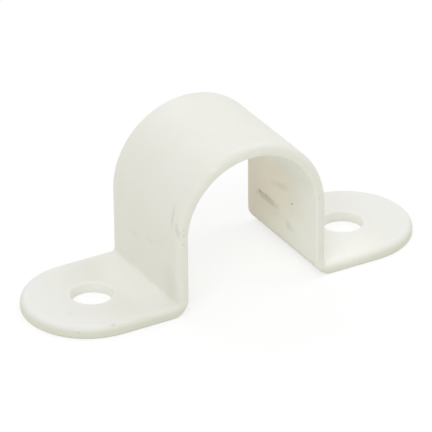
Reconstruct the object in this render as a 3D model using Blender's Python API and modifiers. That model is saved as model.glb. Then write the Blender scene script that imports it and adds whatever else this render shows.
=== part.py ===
"""Conduit clip: a moulded one-piece saddle that straps a round conduit to a flat surface.

Metres, +Z up. The two feet lie on the plane Z = 0 and reach out along X. The conduit runs
along Y through the arched channel. The origin is on the base plane, midway between the feet.
"""

import math

import bmesh
import bpy

# Channel for the conduit, sizes in metres
CHANNEL_WIDTH = 0.0200
SPRING_HEIGHT = 0.01125

# Strap and feet
STRAP_WIDTH = 0.0190
STRAP_WALL = 0.0016
FOOT_WALL = 0.00165
LEG_TO_HOLE = 0.0082
HOLE_TO_TIP = 0.0099

# Folds between the legs and the feet: a round heel under each and a crisp corner over it
HEEL_RADIUS = 0.0025
CORNER_FILLET = 0.00035

# Rounded long edges: the skin seen from above is softer than the skin next to the conduit
OUTER_RIM_ROUND = 0.0009
INNER_RIM_ROUND = 0.0002

# Screw holes: the round of each mouth starts a crisp edge's depth under the screw's seat
HOLE_DIAMETER = 0.0059
HOLE_LIP = 0.00025
MOUTH_EDGE = 0.00002

# Facets: the whole arch has one more than twice this, so that a facet straddles the crown
HALF_ARCH_STEPS = 31
HEEL_STEPS = 10
CORNER_STEPS = 4
TIP_STEPS = 48
HOLE_STEPS = 48
ROUND_STEPS = 4
LIP_STEPS = 4

# Cutting allowances, and the bevel profile that is a quarter circle
OVERCUT = 0.002
WELD_DISTANCE = 0.000001
QUARTER_ROUND = 0.5

# Edges sharper than this are rims, and a skin whose normal leans back this far is the inner one
SHARP_ANGLE = math.radians(40)
INNER_SKIN_LEAN = -0.5

# Sizes that follow from the ones above
CHANNEL_RADIUS = CHANNEL_WIDTH / 2
LEG_FACE = CHANNEL_RADIUS + STRAP_WALL
HOLE_CENTRE = LEG_FACE + LEG_TO_HOLE
FOOT_TIP = HOLE_CENTRE + HOLE_TO_TIP
CROWN_HEIGHT = SPRING_HEIGHT + LEG_FACE
TIP_RADIUS = STRAP_WIDTH / 2

CREAM_PLASTIC = (0.83, 0.82, 0.76, 1.0)
PLASTIC_ROUGHNESS = 0.42


def clear_scene():
    for item in list(bpy.data.objects):
        bpy.data.objects.remove(item, do_unlink=True)


def new_collection(name):
    collection = bpy.data.collections.new(name)
    bpy.context.scene.collection.children.link(collection)
    return collection


def cream_plastic():
    """Off-white rigid plastic with a satin skin."""
    material = bpy.data.materials.new("cream_plastic")
    material.use_nodes = True
    shader = material.node_tree.nodes["Principled BSDF"]
    shader.inputs["Base Color"].default_value = CREAM_PLASTIC
    shader.inputs["Roughness"].default_value = PLASTIC_ROUGHNESS
    shader.inputs["Metallic"].default_value = 0.0
    return material


def arc(centre, radius, start, end, steps):
    """Points along an arc, with its angles in degrees."""
    points = []
    for step in range(steps + 1):
        angle = math.radians(start + (end - start) * step / steps)
        points.append((centre[0] + radius * math.cos(angle), centre[1] + radius * math.sin(angle)))
    return points


def side_profile():
    """Right half of the clip seen along the conduit, from just past the crown to past the tip."""
    facet = 180 / (2 * HALF_ARCH_STEPS + 1)
    past_crown = 90 + facet / 2
    steps = HALF_ARCH_STEPS + 1
    past_tip = FOOT_TIP + OVERCUT
    arch_centre = (0.0, SPRING_HEIGHT)
    heel_centre = (CHANNEL_RADIUS + HEEL_RADIUS, HEEL_RADIUS)
    corner_centre = (LEG_FACE + CORNER_FILLET, FOOT_WALL + CORNER_FILLET)
    inner = arc(arch_centre, CHANNEL_RADIUS, past_crown, 0, steps)
    heel = arc(heel_centre, HEEL_RADIUS, 180, 270, HEEL_STEPS)
    corner = arc(corner_centre, CORNER_FILLET, 270, 180, CORNER_STEPS)
    outer = arc(arch_centre, LEG_FACE, 0, past_crown, steps)
    return inner + heel + [(past_tip, 0.0), (past_tip, FOOT_WALL)] + corner + outer


def plan_outline():
    """Right half of the clip seen from above: parallel edges and a full-round tip."""
    tip = arc((FOOT_TIP - TIP_RADIUS, 0.0), TIP_RADIUS, -90, 90, TIP_STEPS)
    return [(0.0, -TIP_RADIUS)] + tip + [(0.0, TIP_RADIUS)]


def prism(name, outline, thickness):
    """A flat outline in the XY plane given a thickness, half above the plane and half below."""
    curve = bpy.data.curves.new(name, "CURVE")
    curve.dimensions = "2D"
    curve.fill_mode = "BOTH"
    curve.extrude = thickness / 2
    spline = curve.splines.new("POLY")
    spline.points.add(len(outline) - 1)
    for point, (across, along) in zip(spline.points, outline):
        point.co = (across, along, 0.0, 1.0)
    spline.use_cyclic_u = True
    return bpy.data.objects.new(name, curve)


def as_mesh(source, collection):
    """Replaces a curve object by a closed mesh object of the same name and place."""
    name = source.name
    collection.objects.link(source)
    graph = bpy.context.evaluated_depsgraph_get()
    mesh = bpy.data.meshes.new_from_object(source.evaluated_get(graph))
    place = source.matrix_world.copy()
    bpy.data.objects.remove(source, do_unlink=True)
    build = bmesh.new()
    build.from_mesh(mesh)
    bmesh.ops.remove_doubles(build, verts=build.verts, dist=WELD_DISTANCE)
    bmesh.ops.recalc_face_normals(build, faces=build.faces)
    build.to_mesh(mesh)
    build.free()
    made = bpy.data.objects.new(name, mesh)
    made.matrix_world = place
    collection.objects.link(made)
    return made


def boolean(item, name, other, operation):
    modifier = item.modifiers.new(name, "BOOLEAN")
    modifier.operation = operation
    modifier.solver = "EXACT"
    modifier.object = other


def strap_blank(collection):
    """The folded strap with its tip cut full-round, and every edge still sharp."""
    blank = prism("strap_blank", side_profile(), STRAP_WIDTH + 2 * OVERCUT)
    blank.rotation_euler.x = math.radians(90)
    blank = as_mesh(blank, collection)
    plan = prism("plan_outline", plan_outline(), CROWN_HEIGHT + 2 * OVERCUT)
    plan.location.z = CROWN_HEIGHT / 2
    plan = as_mesh(plan, collection)
    boolean(blank, "Plan outline", plan, "INTERSECT")
    graph = bpy.context.evaluated_depsgraph_get()
    mesh = bpy.data.meshes.new_from_object(blank.evaluated_get(graph))
    mesh.transform(blank.matrix_world)
    for helper in (blank, plan):
        bpy.data.objects.remove(helper, do_unlink=True)
    return mesh


def on_inner_skin(face):
    """Whether a face of the right half looks towards the conduit or down at the base plane."""
    return face.normal.x + face.normal.z < INNER_SKIN_LEAN


def rim_edges(build, inner):
    """The sharp long edges of one skin, all the way round the tip of the foot."""
    found = []
    for edge in build.edges:
        if len(edge.link_faces) != 2 or edge.calc_face_angle(0.0) < SHARP_ANGLE:
            continue
        if any(on_inner_skin(face) for face in edge.link_faces) == inner:
            found.append(edge)
    return found


def open_at_crown(build):
    """Takes away the cut face at X = 0, where the left half joins on."""
    cut = [
        face
        for face in build.faces
        if all(abs(vertex.co.x) < WELD_DISTANCE for vertex in face.verts)
    ]
    bmesh.ops.delete(build, geom=cut, context="FACES_ONLY")


def round_rims(mesh):
    """Rounds the long edges, softer on the outer skin than on the inner one."""
    build = bmesh.new()
    build.from_mesh(mesh)
    bmesh.ops.remove_doubles(build, verts=build.verts, dist=WELD_DISTANCE)
    build.normal_update()
    open_at_crown(build)
    for inner, radius in ((False, OUTER_RIM_ROUND), (True, INNER_RIM_ROUND)):
        bmesh.ops.bevel(
            build,
            geom=rim_edges(build, inner),
            offset=radius,
            offset_type="OFFSET",
            segments=ROUND_STEPS,
            profile=QUARTER_ROUND,
            affect="EDGES",
            clamp_overlap=False,
        )
    build.to_mesh(mesh)
    build.free()


def screw_hole_cutter(collection):
    """A turned cutter for the right foot's hole, flared where the screw head meets the mouth."""
    radius = HOLE_DIAMETER / 2
    flare_height = FOOT_WALL - MOUTH_EDGE - HOLE_LIP
    flare = arc((radius + HOLE_LIP, flare_height), HOLE_LIP, 90, 180, LIP_STEPS)
    top = FOOT_WALL + OVERCUT
    profile = [(0.0, top), (radius + HOLE_LIP, top)] + flare + [(radius, -OVERCUT), (0.0, -OVERCUT)]
    mesh = bpy.data.meshes.new("screw_hole_cutter")
    build = bmesh.new()
    corners = [build.verts.new((across, 0.0, height)) for across, height in profile]
    for start, end in zip(corners, corners[1:]):
        build.edges.new((start, end))
    build.to_mesh(mesh)
    build.free()
    cutter = bpy.data.objects.new("screw_hole_cutter", mesh)
    cutter.location.x = HOLE_CENTRE
    collection.objects.link(cutter)
    turn = cutter.modifiers.new("Turn", "SCREW")
    turn.steps = HOLE_STEPS
    turn.render_steps = HOLE_STEPS
    turn.use_merge_vertices = True
    turn.merge_threshold = WELD_DISTANCE
    cutter.hide_render = True
    cutter.display_type = "WIRE"
    return cutter


def conduit_clip(parts, cutters):
    """The whole moulding: the right half with its screw hole, mirrored at the crown."""
    mesh = strap_blank(cutters)
    mesh.name = "conduit_clip"
    round_rims(mesh)
    mesh.materials.clear()
    mesh.materials.append(cream_plastic())
    clip = bpy.data.objects.new("conduit_clip", mesh)
    parts.objects.link(clip)
    boolean(clip, "Screw hole", screw_hole_cutter(cutters), "DIFFERENCE")
    halves = clip.modifiers.new("Left half", "MIRROR")
    halves.use_axis[0] = True
    halves.use_mirror_merge = True
    halves.merge_threshold = WELD_DISTANCE
    mesh.shade_smooth()
    mesh.set_sharp_from_angle(angle=SHARP_ANGLE)
    clip.modifiers.new("Flat faces stay flat", "WEIGHTED_NORMAL")


def main():
    clear_scene()
    conduit_clip(new_collection("conduit_clip"), new_collection("cutters"))


main()
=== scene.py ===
import math

import bmesh
import bpy
from mathutils import Matrix, Vector


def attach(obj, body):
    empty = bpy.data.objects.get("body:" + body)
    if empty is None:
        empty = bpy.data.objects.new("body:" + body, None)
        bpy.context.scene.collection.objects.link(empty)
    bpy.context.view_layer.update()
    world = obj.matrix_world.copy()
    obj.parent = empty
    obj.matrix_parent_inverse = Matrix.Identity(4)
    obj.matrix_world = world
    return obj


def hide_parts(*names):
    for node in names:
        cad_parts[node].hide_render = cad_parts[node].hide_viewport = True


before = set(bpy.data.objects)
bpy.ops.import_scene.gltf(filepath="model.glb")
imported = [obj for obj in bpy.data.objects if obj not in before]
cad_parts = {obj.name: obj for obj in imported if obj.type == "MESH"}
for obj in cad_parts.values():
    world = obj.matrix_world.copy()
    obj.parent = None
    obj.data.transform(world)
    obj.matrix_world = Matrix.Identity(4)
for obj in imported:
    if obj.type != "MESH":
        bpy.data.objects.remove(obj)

# Sizes of the moulding, in metres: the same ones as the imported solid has
CHANNEL_RADIUS = 0.0100
SPRING_HEIGHT = 0.01125
STRAP_WALL = 0.0016
FOOT_WALL = 0.00165
STRAP_WIDTH = 0.0190
LEG_FACE = CHANNEL_RADIUS + STRAP_WALL
LEG_TO_HOLE = 0.0082
HOLE_TO_TIP = 0.0099
HOLE_CENTRE = LEG_FACE + LEG_TO_HOLE
HOLE_RADIUS = 0.00295
HOLE_LIP = 0.00025
FOOT_TIP = HOLE_CENTRE + HOLE_TO_TIP
TIP_RADIUS = STRAP_WIDTH / 2
TIP_CENTRE = FOOT_TIP - TIP_RADIUS
HEEL_RADIUS = 0.0025
CORNER_FILLET = 0.00035
FOLD_LINE = LEG_FACE + CORNER_FILLET
FOLD_HEIGHT = FOOT_WALL + CORNER_FILLET
OUTER_RIM_ROUND = 0.0009
INNER_RIM_ROUND = 0.0002
HOLE_FOOT_ROUND = 0.0001

# Rows of faces: round a screw hole, across the strap, along each part of it and round the rims
RING_STEPS = 48
ROWS_ACROSS = 14
RING_CUTS = 4
FOLD_STEPS = 8
LEG_STEPS = 6
ARCH_STEPS = 20
ROUND_STEPS = 3
HOLE_FOOT_STEPS = 2
SMOOTHING = 1

# Points nearer than this are one, and edges sharper than these are rims, or stay crisp in shading
NEAR = 0.00001
RIM_ANGLE = math.radians(55)
CRISP_ANGLE = math.radians(32)
RIGHT_ANGLE = math.radians(90)

# The bevel profile that is a quarter circle
QUARTER_ROUND = 0.5

# A gouge in the inner face of the right leg: a tapered slit, deepest at its back end
GOUGE_BACK = (0.00997, 0.00625, 0.00640)
GOUGE_FRONT = (0.00998, 0.00065, 0.00646)
GOUGE_BACK_RADIUS = 0.00026
GOUGE_FRONT_RADIUS = 0.00012
GOUGE_SIDES = 16

# Cream plastic: the skin's own colours; lighter ones by the conduit and in the screw holes, which
# are painted light; a cooler one on the far ends of the feet; and a darker one low on their side
# faces, which is painted shade
CREAM_WARM = (0.872, 0.870, 0.800, 1.0)
CREAM_COOL = (0.880, 0.880, 0.822, 1.0)
# Painted light: the skin by the conduit gets a lighter cream than the rest, with a tan mixed in at
# random, which lifts it out of the arch's shade
LIT_INNER_CREAM = (0.990, 0.990, 0.935, 1.0)
LIT_INNER_TAN = (0.970, 0.972, 0.905, 1.0)
# Painted light: the walls of the screw holes get a lighter cream as well
LIT_HOLE_CREAM = (0.990, 0.988, 0.945, 1.0)
# A cooler, paler cream towards the far ends of the feet
TIP_CREAM = (0.884, 0.881, 0.842, 1.0)
# Painted shade: a darker cream low on the side faces of the feet
SHADED_SIDE_CREAM = (0.795, 0.797, 0.705, 1.0)

# Where those colours begin and end: out along a foot, up a side face, and into the wall
TIP_TINT_START = 0.0190
TIP_TINT_END = 0.0260
SIDE_SHADE_BOTTOM = 0.0008
SIDE_SHADE_TOP = 0.00162
CONDUIT_SIDE_START = 0.00003
CONDUIT_SIDE_END = 0.00018
HOLE_WALL_START = 0.00004
HOLE_WALL_END = 0.00022

# Patterns: lumps for each metre, fineness, and the lowest and highest noise that still counts
MOTTLE = (160.0, 3.0, 0.32, 0.68)
AGEING = (220.0, 3.0, 0.35, 0.65)
RAGGED = (1300.0, 3.0, 0.30, 0.70)
SHEEN = (420.0, 4.0, 0.30, 0.70)

# Satin skin: its roughness, and the light that sinks in, by share, reach of each colour and depth
ROUGHNESS_LOW = 0.47
ROUGHNESS_HIGH = 0.62
SUNK_SHARE = 0.3
SUNK_REACH = (1.0, 0.95, 0.75)
SUNK_DEPTH = 0.0008

# Relief of the skin: lumps for each metre, strength and depth of a slow ripple and a fine grain
RIPPLE = (260.0, 0.35, 0.00008)
GRAIN = (3600.0, 0.30, 0.00002)
RELIEF_FINENESS = 2.0

# Paints of the marks
SOOT = (0.16, 0.13, 0.10, 1.0)
BROWN = (0.56, 0.49, 0.38, 1.0)
TAN = (0.860, 0.822, 0.722, 1.0)
ROSY_TAN = (0.878, 0.805, 0.700, 1.0)
STRAW = (1.000, 0.926, 0.825, 1.0)
GREY = (0.50, 0.50, 0.44, 1.0)
DULL = (0.78, 0.765, 0.68, 1.0)
PALE = (0.990, 0.985, 0.930, 1.0)
WHITENED = (1.000, 1.000, 0.940, 1.0)

# Marks: centre, reach along X, Y and Z, tilt about X in degrees, softness, raggedness, strength
# and paint
MARKS = (
    # Inner face of the right leg: stains, the one at the back partly painted shade, smears by
    # the gouge, a pale band and a dark speck
    ((0.0100, 0.0022, 0.0086), (0.0009, 0.0060, 0.0044), 0.0, 0.65, 0.08, 1.00, STRAW),
    # A rosy tan stain at the back, darker and browner, which is partly painted shade under the arch
    ((0.0100, 0.0098, 0.0050), (0.0009, 0.0058, 0.0075), 0.0, 0.75, 0.02, 0.90, ROSY_TAN),
    ((0.0100, 0.0046, 0.0054), (0.0007, 0.0034, 0.0012), 3.0, 0.60, 0.30, 0.50, TAN),
    ((0.0100, 0.0042, 0.0060), (0.0007, 0.0026, 0.00042), -1.0, 0.60, 0.25, 0.50, BROWN),
    ((0.0100, 0.0006, 0.0098), (0.0007, 0.0022, 0.0005), -12.0, 0.60, 0.40, 0.55, DULL),
    ((0.0100, -0.0034, 0.0106), (0.0007, 0.0022, 0.0030), 0.0, 0.70, 0.25, 0.22, TAN),
    ((0.0100, -0.0050, 0.0054), (0.0007, 0.0037, 0.0009), 11.0, 0.50, 0.40, 1.00, WHITENED),
    ((0.0100, -0.0020, 0.0046), (0.0007, 0.0012, 0.0006), 24.0, 0.40, 0.55, 0.45, DULL),
    ((0.0100, -0.00281, 0.00840), (0.0006, 0.00070, 0.00036), 0.0, 0.40, 0.40, 0.60, PALE),
    ((0.0100, -0.00281, 0.00840), (0.0004, 0.00016, 0.00014), 0.0, 0.40, 0.25, 0.80, SOOT),
    # Left leg: two streaks on its outer face, three dots on its front rim, three dull patches
    # and painted shade low at the front by the fold
    ((-0.01115, -0.0073, 0.0145), (0.0007, 0.00030, 0.00150), -9.0, 0.60, 0.45, 0.22, GREY),
    ((-0.01140, -0.0089, 0.0130), (0.0006, 0.00032, 0.00080), -22.0, 0.60, 0.45, 0.28, GREY),
    ((-0.01064, -0.00948, 0.01322), (0.00016, 0.0005, 0.00015), 0.0, 0.55, 0.30, 0.28, GREY),
    ((-0.01066, -0.00949, 0.01240), (0.00016, 0.0005, 0.00015), 0.0, 0.55, 0.30, 0.34, GREY),
    ((-0.01073, -0.00949, 0.01104), (0.00016, 0.0005, 0.00017), 0.0, 0.55, 0.30, 0.22, GREY),
    ((-0.0116, 0.0028, 0.0072), (0.0006, 0.0009, 0.0004), 0.0, 0.65, 0.40, 0.30, DULL),
    ((-0.0116, -0.0018, 0.0083), (0.0006, 0.0011, 0.0004), 0.0, 0.65, 0.40, 0.25, DULL),
    ((-0.0116, -0.0046, 0.0093), (0.0006, 0.0008, 0.0004), 0.0, 0.65, 0.40, 0.20, DULL),
    # Painted shade: darker low at the front of the outer face, by the fold
    ((-0.0116, -0.0070, 0.0036), (0.0007, 0.0018, 0.0030), 0.0, 0.70, 0.20, 0.35, DULL),
    # Left foot: three specks
    ((-0.0250, -0.0034, 0.00165), (0.00035, 0.0006, 0.0005), 0.0, 0.60, 0.40, 0.12, GREY),
    ((-0.0213, -0.0089, 0.00154), (0.00035, 0.0002, 0.0003), 0.0, 0.50, 0.30, 0.28, GREY),
    ((-0.0259, -0.0076, 0.0010), (0.00035, 0.0003, 0.0002), 0.0, 0.50, 0.30, 0.20, GREY),
    # Front of the arch: a pale nick
    ((-0.0059, -0.0093, 0.0209), (0.0005, 0.0004, 0.0003), 0.0, 0.60, 0.30, 0.30, PALE),
    # Tops of the feet by the right fold and the left one: pale patches of painted light that lift
    # them out of the legs' shade
    ((0.0150, -0.0055, 0.0017), (0.0050, 0.0065, 0.0012), 0.0, 0.70, 0.05, 0.60, PALE),
    ((-0.0138, -0.0010, 0.0017), (0.0026, 0.0090, 0.0008), 0.0, 0.60, 0.10, 0.35, PALE),
    # Front rim of the right leg: a dot
    ((0.0103, -0.0095, 0.0124), (0.0002, 0.0003, 0.00018), 0.0, 0.50, 0.25, 0.16, GREY),
)

# Camera: where it aims, how far and at which angles it stands, its small shifts and its lens
AIM = (0.0, 0.0, 0.0080)
CAMERA_DISTANCE = 0.540
AZIMUTH = math.radians(-29.223)
ELEVATION = math.radians(28.703)
ROLL = math.radians(-0.664)
SIDESTEP = -0.00036
RISE = -0.00001
SENSOR = 36.0
LENS = 328.80
NEAREST_SEEN = 0.01
FURTHEST_SEEN = 20.0

# Floor: its size, how far it lies under the feet, and its colour for the light that it throws
# back. Where the camera looks it has a shade, which takes the shadow, and a glow up to white
FLOOR_SIZE = 6.0
FLOOR_DROP = 0.00001
FLOOR_COLOUR = (0.88, 0.88, 0.80, 1.0)
FLOOR_SHADE = (0.34, 0.34, 0.34, 1.0)
FLOOR_GLOW = 0.69
WHITE = (1.0, 1.0, 1.0, 1.0)

# Light: an even sky, the strength at which it is seen, and three broad lamps, each with its
# side, its height and its power
SKY = 0.568
SKY_IN_SIGHT = 1.0
LAMP_DISTANCE = 0.9
LAMP_SIZE = 0.57
LAMPS = (
    ("lamp_over_the_left_foot", 225, 50, 2.03),
    ("lamp_over_the_right_foot", 0, 50, 1.36),
    ("lamp_behind", 90, 50, 0.87),
)


def only(piece):
    """Makes a piece the only one selected, and the one that operators act on."""
    bpy.ops.object.select_all(action="DESELECT")
    piece.select_set(True)
    bpy.context.view_layer.objects.active = piece


def edit(piece):
    """Opens a piece in edit mode, on its own."""
    only(piece)
    bpy.ops.object.mode_set(mode="EDIT")


def stop_editing():
    """Goes back to object mode."""
    bpy.ops.object.mode_set(mode="OBJECT")


def choose_edges(piece, test):
    """Selects the edges of a piece in edit mode that pass a test, and no others."""
    bpy.ops.mesh.select_mode(type="EDGE")
    bpy.ops.mesh.select_all(action="DESELECT")
    build = bmesh.from_edit_mesh(piece.data)
    build.normal_update()
    for edge in build.edges:
        if test(edge):
            edge.select_set(True)
    bmesh.update_edit_mesh(piece.data)


def apply(piece, kind, name, **settings):
    """Adds a modifier with its settings and applies it."""
    only(piece)
    modifier = piece.modifiers.new(name, kind)
    for setting, value in settings.items():
        setattr(modifier, setting, value)
    bpy.ops.object.modifier_apply(modifier=name)


def ring(name, radius, across):
    """A bare ring of edges on the upper skin of the right foot."""
    bpy.ops.object.select_all(action="DESELECT")
    bpy.ops.mesh.primitive_circle_add(
        vertices=RING_STEPS, radius=radius, fill_type="NOTHING", location=(across, 0.0, FOOT_WALL)
    )
    piece = bpy.context.object
    piece.name = name
    bpy.ops.object.transform_apply(location=True)
    return piece


def square_off_towards_leg(piece):
    """Moves the half ring on the leg's side out to the parallel edges and the fold line."""
    half = RING_STEPS // 2
    side_rows = (half - ROWS_ACROSS) // 2
    edit(piece)
    build = bmesh.from_edit_mesh(piece.data)
    turn = 2 * math.pi / RING_STEPS
    for vertex in build.verts:
        step = round(math.atan2(vertex.co.y, TIP_CENTRE - vertex.co.x) / turn)
        if abs(step) * 4 >= RING_STEPS:
            continue
        side = math.copysign(1, step)
        if abs(step) <= ROWS_ACROSS // 2:
            vertex.co.x = FOLD_LINE
            vertex.co.y = step * STRAP_WIDTH / ROWS_ACROSS
        else:
            share = (half // 2 - abs(step)) / side_rows
            vertex.co.x = TIP_CENTRE + (FOLD_LINE - TIP_CENTRE) * share
            vertex.co.y = side * TIP_RADIUS
    bmesh.update_edit_mesh(piece.data)
    stop_editing()


def foot_skin():
    """The upper skin of the right foot: the screw hole bridged to the foot's full-round outline."""
    outline = ring("clip_moulding", TIP_RADIUS, TIP_CENTRE)
    square_off_towards_leg(outline)
    hole = ring("hole_mouth", HOLE_RADIUS, HOLE_CENTRE)
    only(outline)
    hole.select_set(True)
    bpy.ops.object.join()
    edit(outline)
    bpy.ops.mesh.select_mode(type="EDGE")
    bpy.ops.mesh.select_all(action="SELECT")
    bpy.ops.mesh.bridge_edge_loops(number_cuts=RING_CUTS, interpolation="LINEAR")
    stop_editing()
    return outline


def on_line(edge, axis, place):
    """Whether both ends of an edge lie at one place along an axis."""
    return all(abs(vertex.co[axis] - place) < NEAR for vertex in edge.verts)


def fold_up_leg_and_arch(piece):
    """Spins the fold, pulls the leg up to the spring line and spins the arch to the crown."""
    edit(piece)
    choose_edges(piece, lambda edge: on_line(edge, 0, FOLD_LINE))
    bpy.ops.mesh.spin(
        steps=FOLD_STEPS,
        angle=-RIGHT_ANGLE,
        center=(FOLD_LINE, 0.0, FOLD_HEIGHT),
        axis=(0.0, 1.0, 0.0),
    )
    rise = (SPRING_HEIGHT - FOLD_HEIGHT) / LEG_STEPS
    for _ in range(LEG_STEPS):
        bpy.ops.mesh.extrude_region_move(TRANSFORM_OT_translate={"value": (0.0, 0.0, rise)})
    bpy.ops.mesh.spin(
        steps=ARCH_STEPS,
        angle=RIGHT_ANGLE,
        center=(0.0, 0.0, SPRING_HEIGHT),
        axis=(0.0, 1.0, 0.0),
    )
    stop_editing()


def face_outwards(piece):
    """Merges doubles and points the skin away from the conduit."""
    edit(piece)
    bpy.ops.mesh.select_all(action="SELECT")
    bpy.ops.mesh.remove_doubles(threshold=NEAR)
    bpy.ops.mesh.normals_make_consistent(inside=False)
    stop_editing()
    highest = max(piece.data.polygons, key=lambda face: face.center.z)
    if highest.normal.z < 0:
        edit(piece)
        bpy.ops.mesh.select_all(action="SELECT")
        bpy.ops.mesh.flip_normals()
        stop_editing()


def wall_at(place):
    """Wall under a point of the outer skin, down to the round heel where the strap folds."""
    across = abs(place.x) - FOLD_LINE
    height = place.z - FOLD_HEIGHT
    if height >= -NEAR:
        return STRAP_WALL
    if across >= -NEAR:
        return FOOT_WALL
    inwards = Vector((across, height)).normalized()
    heel = Vector((CHANNEL_RADIUS + HEEL_RADIUS - FOLD_LINE, HEEL_RADIUS - FOLD_HEIGHT))
    along = inwards.dot(heel)
    reach = along + math.sqrt(along ** 2 - heel.length_squared + HEEL_RADIUS ** 2)
    return reach - CORNER_FILLET


def give_wall(piece):
    """Thickens the skin inwards, with the thicker foot blended in round the fold."""
    group = piece.vertex_groups.new(name="wall")
    for vertex in piece.data.vertices:
        group.add([vertex.index], wall_at(vertex.co) / FOOT_WALL, "REPLACE")
    apply(
        piece,
        "SOLIDIFY",
        "Wall",
        thickness=FOOT_WALL,
        offset=-1.0,
        use_even_offset=True,
        use_quality_normals=True,
        vertex_group="wall",
        thickness_vertex_group=0.0,
    )
    piece.vertex_groups.clear()


def outwards(face):
    """Above nought on the skin seen from above, below nought on the one by the conduit."""
    return math.copysign(1, face.calc_center_median().x) * face.normal.x + face.normal.z


def is_rim(edge):
    """Whether an edge is sharp enough to be a rim."""
    return len(edge.link_faces) == 2 and edge.calc_face_angle(0.0) > RIM_ANGLE


def by_hole(edge):
    """Whether an edge lies at the mouth or at the foot of a screw hole."""
    centre = (edge.verts[0].co + edge.verts[1].co) / 2
    return math.hypot(abs(centre.x) - HOLE_CENTRE, centre.y) < HOLE_RADIUS + HOLE_LIP + NEAR


def skin_side(edge):
    """How far the skin face of a rim edge looks outwards."""
    return max((outwards(face) for face in edge.link_faces), key=abs)


def round_edges(piece, test, radius, steps):
    """Rounds the edges that pass a test."""
    edit(piece)
    choose_edges(piece, test)
    bpy.ops.mesh.bevel(
        offset=radius,
        offset_type="OFFSET",
        segments=steps,
        profile=QUARTER_ROUND,
        affect="EDGES",
        clamp_overlap=False,
    )
    stop_editing()


def round_rims(piece):
    """Rounds the long edges, softer outside than by the conduit, and both ends of the holes."""

    def hole_mouth(edge):
        return is_rim(edge) and by_hole(edge) and edge.verts[0].co.z > FOOT_WALL / 2

    def hole_foot(edge):
        return is_rim(edge) and by_hole(edge) and edge.verts[0].co.z < FOOT_WALL / 2

    def outer_rim(edge):
        return is_rim(edge) and not by_hole(edge) and skin_side(edge) > 0

    def inner_rim(edge):
        return is_rim(edge) and not by_hole(edge) and skin_side(edge) < 0

    round_edges(piece, hole_mouth, HOLE_LIP, ROUND_STEPS)
    round_edges(piece, hole_foot, HOLE_FOOT_ROUND, HOLE_FOOT_STEPS)
    round_edges(piece, outer_rim, OUTER_RIM_ROUND, ROUND_STEPS)
    round_edges(piece, inner_rim, INNER_RIM_ROUND, ROUND_STEPS)


def gouge(piece):
    """Cuts the slit in the inner face of the right leg."""
    back = Vector(GOUGE_BACK)
    front = Vector(GOUGE_FRONT)
    along = front - back
    bpy.ops.object.select_all(action="DESELECT")
    bpy.ops.mesh.primitive_cone_add(
        vertices=GOUGE_SIDES,
        radius1=GOUGE_BACK_RADIUS,
        radius2=GOUGE_FRONT_RADIUS,
        depth=along.length,
        location=(back + front) / 2,
        rotation=along.to_track_quat("Z", "Y").to_euler(),
    )
    tool = bpy.context.object
    bpy.ops.object.transform_apply(location=True, rotation=True, scale=True)
    apply(piece, "BOOLEAN", "Gouge", operation="DIFFERENCE", solver="EXACT", object=tool)
    bpy.data.objects.remove(tool, do_unlink=True)


def clip_moulding():
    """The whole clip, moulded in one piece."""
    piece = foot_skin()
    fold_up_leg_and_arch(piece)
    apply(piece, "MIRROR", "Left half", use_axis=(True, False, False), merge_threshold=NEAR)
    face_outwards(piece)
    give_wall(piece)
    round_rims(piece)
    apply(piece, "SUBSURF", "Smooth", levels=SMOOTHING, render_levels=SMOOTHING)
    gouge(piece)
    only(piece)
    bpy.ops.object.shade_smooth_by_angle(angle=CRISP_ANGLE)
    apply(piece, "WEIGHTED_NORMAL", "Even shading", keep_sharp=True)
    return piece


def node(tree, kind, **settings):
    """A new node with its settings."""
    made = tree.nodes.new(kind)
    for setting, value in settings.items():
        setattr(made, setting, value)
    return made


def link(tree, source, socket):
    """Feeds a socket from another node's socket, or sets it to a plain value."""
    if hasattr(source, "is_output"):
        tree.links.new(source, socket)
    else:
        socket.default_value = source


def maths(tree, operation, *values):
    """The result of a sum on numbers or sockets."""
    step = node(tree, "ShaderNodeMath", operation=operation)
    for value, socket in zip(values, step.inputs):
        link(tree, value, socket)
    return step.outputs[0]


def cloud(tree, place, lumps, fineness):
    """Soft noise of so many lumps for each metre, with its mean near a half."""
    noise = node(tree, "ShaderNodeTexNoise")
    noise.inputs["Scale"].default_value = lumps
    noise.inputs["Detail"].default_value = fineness
    tree.links.new(place, noise.inputs["Vector"])
    return noise.outputs["Fac"]


def spread(tree, value, low, high, to_low, to_high, soft=True):
    """Carries a range of a value over to another range, and holds it at the ends."""
    step = node(tree, "ShaderNodeMapRange")
    if soft:
        step.interpolation_type = "SMOOTHSTEP"
    link(tree, value, step.inputs["Value"])
    link(tree, low, step.inputs["From Min"])
    link(tree, high, step.inputs["From Max"])
    link(tree, to_low, step.inputs["To Min"])
    link(tree, to_high, step.inputs["To Max"])
    return step.outputs["Result"]


def pattern(tree, place, look, to_low=0.0, to_high=1.0, soft=True):
    """The noise of one pattern, carried over to a range."""
    lumps, fineness, low, high = look
    return spread(tree, cloud(tree, place, lumps, fineness), low, high, to_low, to_high, soft)


def relief(tree, place, look):
    """A bump node that lifts the skin by the noise of one relief."""
    lumps, strength, depth = look
    bump = node(tree, "ShaderNodeBump")
    bump.inputs["Strength"].default_value = strength
    bump.inputs["Distance"].default_value = depth
    tree.links.new(cloud(tree, place, lumps, RELIEF_FINENESS), bump.inputs["Height"])
    return bump


def blend(tree, factor, first, second):
    """First colour where the factor is nought, second where it is one."""
    mix = node(tree, "ShaderNodeMix", data_type="RGBA")
    link(tree, factor, mix.inputs["Factor"])
    link(tree, first, mix.inputs["A"])
    link(tree, second, mix.inputs["B"])
    return mix.outputs["Result"]


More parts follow.
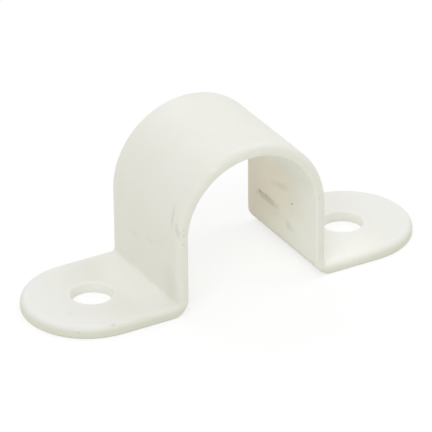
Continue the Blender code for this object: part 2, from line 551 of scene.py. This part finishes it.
def spot_distance(tree, place, centre, reach, tilt):
    """Distance from a spot's centre, one on the oval that its reaches and its tilt make."""
    frame_of_spot = node(tree, "ShaderNodeMapping", vector_type="TEXTURE")
    frame_of_spot.inputs["Location"].default_value = centre
    frame_of_spot.inputs["Rotation"].default_value = (math.radians(tilt), 0.0, 0.0)
    frame_of_spot.inputs["Scale"].default_value = reach
    tree.links.new(place, frame_of_spot.inputs["Vector"])
    length = node(tree, "ShaderNodeVectorMath", operation="LENGTH")
    tree.links.new(frame_of_spot.outputs["Vector"], length.inputs[0])
    return length.outputs["Value"]


def from_axis(tree, first, second):
    """Distance from an axis, from the two offsets square to it."""
    first_square = maths(tree, "MULTIPLY", first, first)
    second_square = maths(tree, "MULTIPLY", second, second)
    return maths(tree, "SQRT", maths(tree, "ADD", first_square, second_square))


def conduit_side(tree, across, height):
    """One on the skin next to the conduit, nought on the rest of the clip."""
    over_spring = maths(tree, "MAXIMUM", maths(tree, "SUBTRACT", height, SPRING_HEIGHT), 0.0)
    out = from_axis(tree, across, over_spring)
    start = CHANNEL_RADIUS + CONDUIT_SIDE_START
    return spread(tree, out, start, CHANNEL_RADIUS + CONDUIT_SIDE_END, 1.0, 0.0)


def hole_wall(tree, across, along):
    """One on the wall of either screw hole, nought on the rest of the clip."""
    off_centre = maths(tree, "SUBTRACT", maths(tree, "ABSOLUTE", across), HOLE_CENTRE)
    out = from_axis(tree, off_centre, along)
    return spread(tree, out, HOLE_RADIUS + HOLE_WALL_START, HOLE_RADIUS + HOLE_WALL_END, 1.0, 0.0)


def clean_colour(tree, place):
    """The colour of the clip without its marks, by where a point lies, with painted light and shade.
    """
    axes = node(tree, "ShaderNodeSeparateXYZ")
    tree.links.new(place, axes.inputs["Vector"])
    across, along, height = (axes.outputs[name] for name in "XYZ")
    colour = blend(tree, pattern(tree, place, MOTTLE), CREAM_WARM, CREAM_COOL)
    # A cooler, paler cream towards the far ends of the feet
    tip_share = spread(tree, maths(tree, "ABSOLUTE", across), TIP_TINT_START, TIP_TINT_END, 0.0, 1.0)
    colour = blend(tree, tip_share, colour, TIP_CREAM)
    # Painted shade: darker cream low on the side faces of the feet
    side_shade = spread(tree, height, SIDE_SHADE_BOTTOM, SIDE_SHADE_TOP, 1.0, 0.0)
    colour = blend(tree, side_shade, colour, SHADED_SIDE_CREAM)
    # Painted light: a lighter cream on the skin next to the conduit
    lit_inner = blend(tree, pattern(tree, place, AGEING), LIT_INNER_CREAM, LIT_INNER_TAN)
    colour = blend(tree, conduit_side(tree, across, height), colour, lit_inner)
    # Painted light: a lighter cream on the walls of the screw holes
    return blend(tree, hole_wall(tree, across, along), colour, LIT_HOLE_CREAM)


def marked(tree, place, colour):
    """A colour with every mark painted over it."""
    ragged = pattern(tree, place, RAGGED, -1.0, 1.0, soft=False)
    for centre, reach, tilt, softness, rag, strength, paint in MARKS:
        distance = spot_distance(tree, place, centre, reach, tilt)
        distance = maths(tree, "MULTIPLY_ADD", ragged, rag, distance)
        mask = spread(tree, distance, 1.0 - softness, 1.0 + softness, strength, 0.0)
        colour = blend(tree, mask, colour, paint)
    return colour


def cream_plastic():
    """Off-white moulded satin plastic, yellowed by the conduit, a little marked, with painted light
    and shade.
    """
    material = bpy.data.materials.new("cream_plastic")
    material.use_nodes = True
    tree = material.node_tree
    shader = tree.nodes["Principled BSDF"]
    place = node(tree, "ShaderNodeTexCoord").outputs["Object"]
    colour = marked(tree, place, clean_colour(tree, place))
    tree.links.new(colour, shader.inputs["Base Color"])
    sheen = pattern(tree, place, SHEEN, ROUGHNESS_LOW, ROUGHNESS_HIGH)
    tree.links.new(sheen, shader.inputs["Roughness"])
    shader.inputs["Subsurface Weight"].default_value = SUNK_SHARE
    shader.inputs["Subsurface Radius"].default_value = SUNK_REACH
    shader.inputs["Subsurface Scale"].default_value = SUNK_DEPTH
    ripple = relief(tree, place, RIPPLE)
    grain = relief(tree, place, GRAIN)
    tree.links.new(ripple.outputs["Normal"], grain.inputs["Normal"])
    tree.links.new(grain.outputs["Normal"], shader.inputs["Normal"])
    return material


def in_sight(tree):
    """One where the camera looks, straight on or by way of a shine or of glass, else nought."""
    path = node(tree, "ShaderNodeLightPath")
    with_shine = maths(tree, "MAXIMUM", path.outputs["Is Camera Ray"], path.outputs["Is Glossy Ray"])
    return maths(tree, "MAXIMUM", with_shine, path.outputs["Is Transmission Ray"])


def floor():
    """Plain pale floor, white to the camera but still showing the clip's soft shadow."""
    bpy.ops.object.select_all(action="DESELECT")
    bpy.ops.mesh.primitive_plane_add(size=FLOOR_SIZE, location=(0.0, 0.0, -FLOOR_DROP))
    piece = bpy.context.object
    piece.name = "floor"
    bpy.ops.object.transform_apply(location=True)
    material = bpy.data.materials.new("pale_floor")
    material.use_nodes = True
    tree = material.node_tree
    tree.nodes.clear()
    paper = node(tree, "ShaderNodeBsdfDiffuse")
    paper.inputs["Color"].default_value = FLOOR_COLOUR
    faint = node(tree, "ShaderNodeBsdfDiffuse")
    faint.inputs["Color"].default_value = FLOOR_SHADE
    glow = node(tree, "ShaderNodeEmission")
    glow.inputs["Color"].default_value = WHITE
    glow.inputs["Strength"].default_value = FLOOR_GLOW
    seen = node(tree, "ShaderNodeAddShader")
    tree.links.new(faint.outputs[0], seen.inputs[0])
    tree.links.new(glow.outputs[0], seen.inputs[1])
    choice = node(tree, "ShaderNodeMixShader")
    tree.links.new(in_sight(tree), choice.inputs[0])
    tree.links.new(paper.outputs[0], choice.inputs[1])
    tree.links.new(seen.outputs[0], choice.inputs[2])
    output = node(tree, "ShaderNodeOutputMaterial")
    tree.links.new(choice.outputs[0], output.inputs["Surface"])
    piece.data.materials.append(material)


def sky():
    """Even soft light from all round, white where the camera sees it."""
    world = bpy.data.worlds.new("studio")
    world.use_nodes = True
    tree = world.node_tree
    tree.nodes.clear()
    strength = node(tree, "ShaderNodeMapRange")
    strength.inputs["To Min"].default_value = SKY
    strength.inputs["To Max"].default_value = SKY_IN_SIGHT
    background = node(tree, "ShaderNodeBackground")
    background.inputs["Color"].default_value = WHITE
    output = node(tree, "ShaderNodeOutputWorld")
    tree.links.new(in_sight(tree), strength.inputs["Value"])
    tree.links.new(strength.outputs["Result"], background.inputs["Strength"])
    tree.links.new(background.outputs[0], output.inputs["Surface"])
    bpy.context.scene.world = world


def soft_lamp(name, side, height, power):
    """A broad round lamp aimed at the clip from one side and height, in degrees."""
    turn = math.radians(side)
    rise = math.radians(height)
    lamp = bpy.data.lights.new(name, "AREA")
    lamp.shape = "DISK"
    lamp.size = LAMP_SIZE
    lamp.energy = power
    stand = bpy.data.objects.new(name, lamp)
    away = Vector((
        math.cos(turn) * math.cos(rise),
        math.sin(turn) * math.cos(rise),
        math.sin(rise),
    ))
    stand.location = away * LAMP_DISTANCE
    stand.rotation_euler = away.to_track_quat("Z", "Y").to_euler()
    stand.visible_camera = False
    bpy.context.scene.collection.objects.link(stand)


def camera():
    """The camera at the photograph's viewing angle."""
    lens = bpy.data.cameras.new("camera")
    lens.sensor_width = SENSOR
    lens.lens = LENS
    lens.clip_start = NEAREST_SEEN
    lens.clip_end = FURTHEST_SEEN
    back = Vector((
        math.sin(AZIMUTH) * math.cos(ELEVATION),
        -math.cos(AZIMUTH) * math.cos(ELEVATION),
        math.sin(ELEVATION),
    ))
    level = Vector((math.cos(AZIMUTH), math.sin(AZIMUTH), 0.0))
    upright = back.cross(level)
    right = level * math.cos(ROLL) + upright * math.sin(ROLL)
    up = upright * math.cos(ROLL) - level * math.sin(ROLL)
    stand = bpy.data.objects.new("camera", lens)
    stand.rotation_euler = Matrix((right, up, back)).transposed().to_euler()
    stand.location = Vector(AIM) + back * CAMERA_DISTANCE + right * SIDESTEP + up * RISE
    bpy.context.scene.collection.objects.link(stand)
    bpy.context.scene.camera = stand


def main():
    """Makes the clip, the floor, the light and the camera."""
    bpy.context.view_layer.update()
    bpy.context.scene.view_settings.view_transform = "Standard"
    clip = clip_moulding()
    clip.data.materials.clear()
    clip.data.materials.append(cream_plastic())
    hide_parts("conduit_clip")
    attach(clip, "root")
    floor()
    sky()
    for lamp in LAMPS:
        soft_lamp(*lamp)
    camera()


main()
